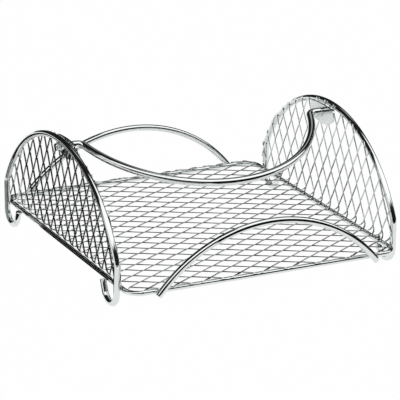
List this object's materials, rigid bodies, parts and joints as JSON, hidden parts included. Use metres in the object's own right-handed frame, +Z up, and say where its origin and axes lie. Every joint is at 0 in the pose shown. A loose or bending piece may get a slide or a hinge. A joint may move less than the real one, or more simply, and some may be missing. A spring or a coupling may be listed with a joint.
{
  "type": "napkin holder",
  "caption": "Flat napkin holder of bent chromed wire: expanded-metal tray with upright half-round ends, low side arches and a swinging hold-down arm.",
  "frame": {"origin": "on the table, under the middle of the tray", "axes": "+X from the left end frame to the right one, +Y from the open front to the open rear, +Z up"},
  "size_m": [0.195, 0.2048, 0.0839],
  "materials": {
    "wire": "bright chrome plating on drawn steel wire",
    "sheet": "chrome plating on expanded steel sheet",
    "plate": "chrome plating on flat steel"
  },
  "bodies": {
    "holder": {"base_ring": "wire", "left_end_frame": "wire", "right_end_frame": "wire", "front_side_arch": "wire", "rear_side_arch": "wire", "floor_mesh": "sheet", "left_panel_mesh": "sheet", "right_panel_mesh": "sheet", "left_pivot_plate": "plate", "right_pivot_plate": "plate"},
    "arm": {"hold_down_arm": "wire"}
  },
  "joints": [
    {"name": "arm_swing", "type": "hinge", "parent": "holder", "child": "arm", "pos_m": [0, 0, 0.0772], "axis": [-1, 0, 0], "range_deg": [-53.5, 266]}
  ]
}
